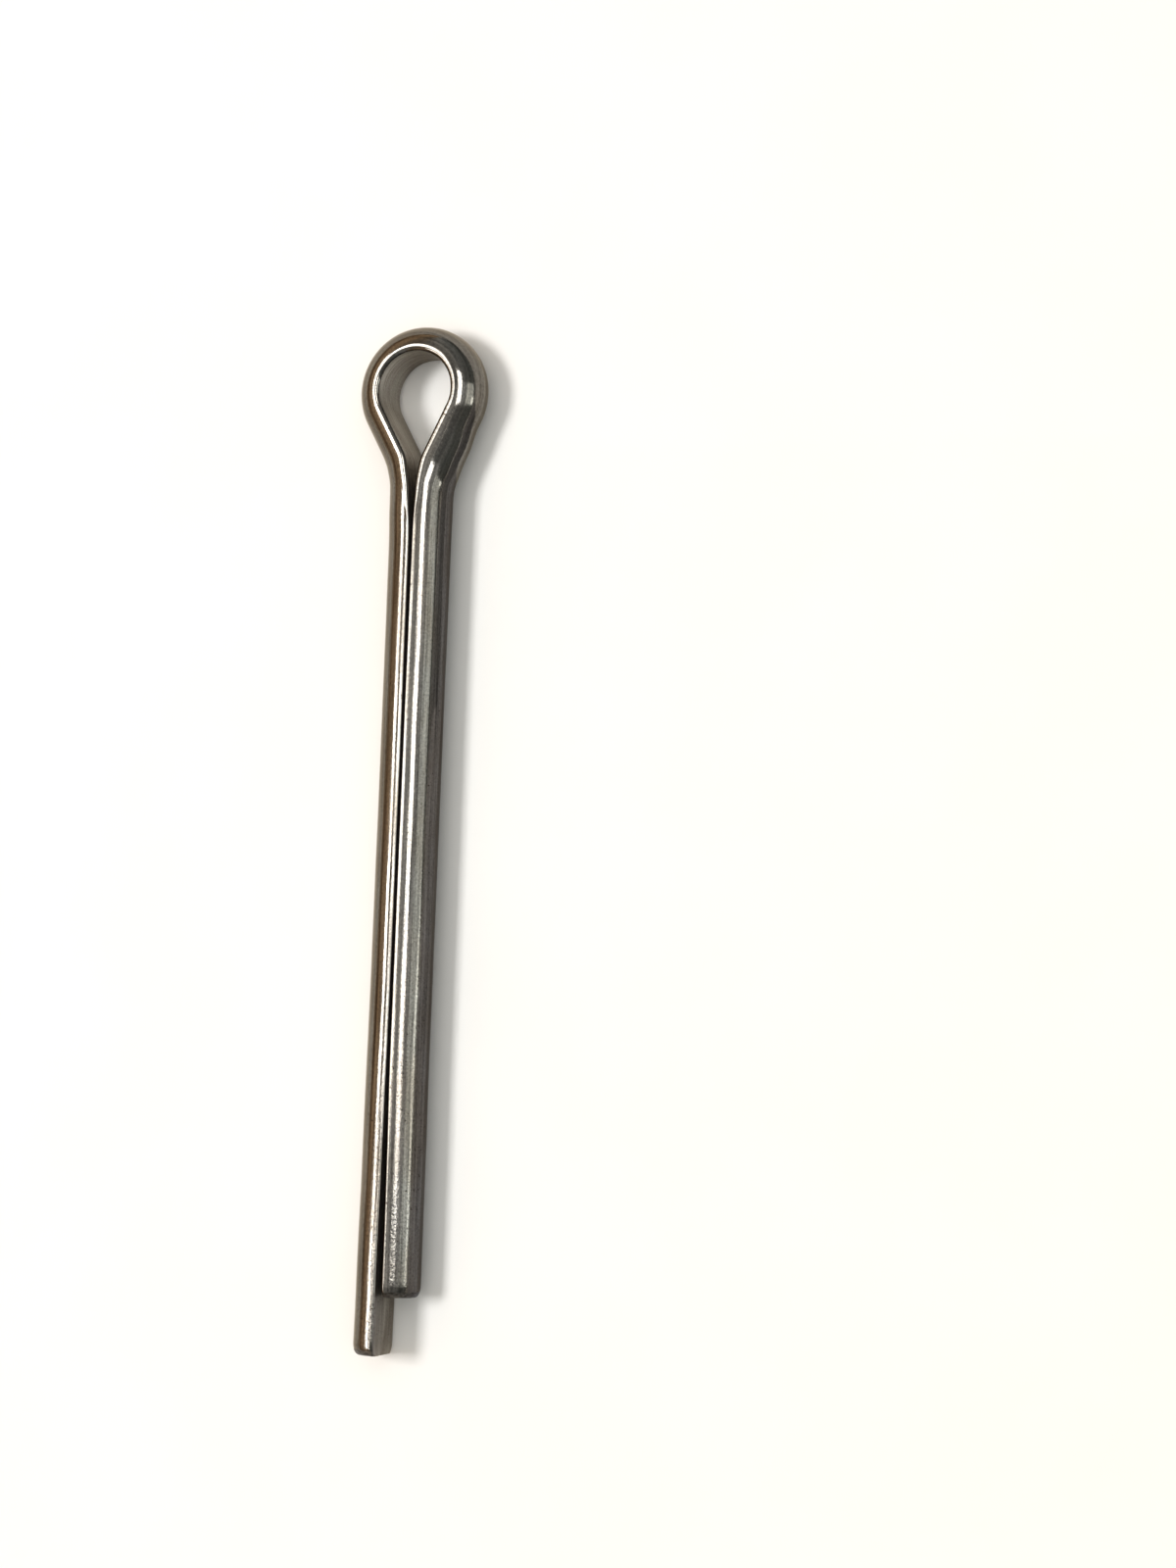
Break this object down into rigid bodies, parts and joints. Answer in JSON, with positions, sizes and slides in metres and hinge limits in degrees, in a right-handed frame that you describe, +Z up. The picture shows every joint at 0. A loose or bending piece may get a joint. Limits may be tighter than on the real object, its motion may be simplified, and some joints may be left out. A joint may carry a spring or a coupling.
{
  "type": "cotter pin",
  "caption": "Split cotter pin of half-round steel wire, folded into a round shank with a looped eye at one end and one leg longer than the other.",
  "frame": {"origin": "on the middle line of the round shank, where the straight shank begins under the eye", "axes": "+Y along the shank towards the eye, so the cut ends point to -Y; +X across the slot, towards the short leg; +Z up, square to the plane of the eye, with the pin lying flat"},
  "size_m": [0.0101, 0.0777, 0.0046],
  "materials": {
    "wire": "plain bright-drawn low-carbon steel, dulled by handling, with fine drawing lines along the wire"
  },
  "bodies": {
    "root": {"cotter_pin": "wire"}
  },
  "joints": []
}
